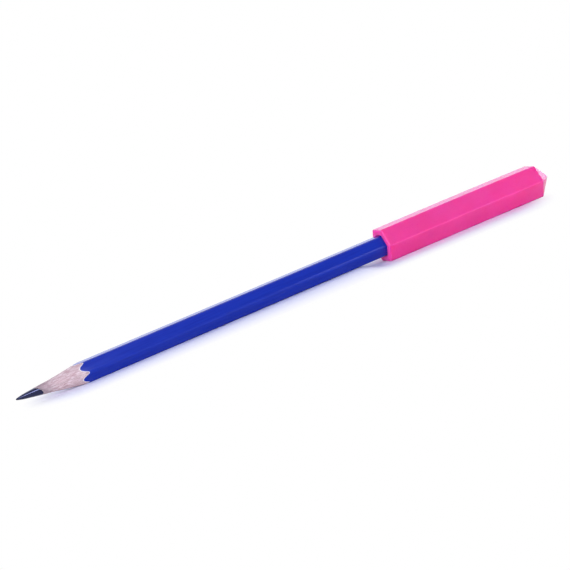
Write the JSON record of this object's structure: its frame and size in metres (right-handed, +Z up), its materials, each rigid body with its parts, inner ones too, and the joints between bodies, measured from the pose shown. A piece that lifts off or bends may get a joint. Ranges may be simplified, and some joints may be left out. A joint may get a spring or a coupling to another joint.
{
  "type": "chewable pencil topper",
  "caption": "Hexagonal chewable elastomer sleeve with a pointed closed end, gripping the plain end of a sharpened hexagonal wood pencil and pulling off along it.",
  "frame": {"origin": "on the plane of the topper's lower flat, under the middle of the overall length", "axes": "+X along the pencil from its point towards the topper's tip, +Z up from the flat that the topper lies on"},
  "size_m": [0.205, 0.013, 0.0114],
  "materials": {
    "chew_elastomer": "satin",
    "blue_lacquer": "gloss",
    "slat_wood": "matte",
    "wood_glue": "satin",
    "graphite": "satin"
  },
  "bodies": {
    "pencil": {"lacquer_coat": "blue_lacquer", "upper_slat": "slat_wood", "lower_slat": "slat_wood", "glue_film": "wood_glue", "graphite_core": "graphite"},
    "topper": {"topper": "chew_elastomer"}
  },
  "joints": [
    {"name": "topper_pull", "type": "slide", "parent": "pencil", "child": "topper", "axis": [1, 0, 0], "range_m": [0, 0.05]}
  ]
}
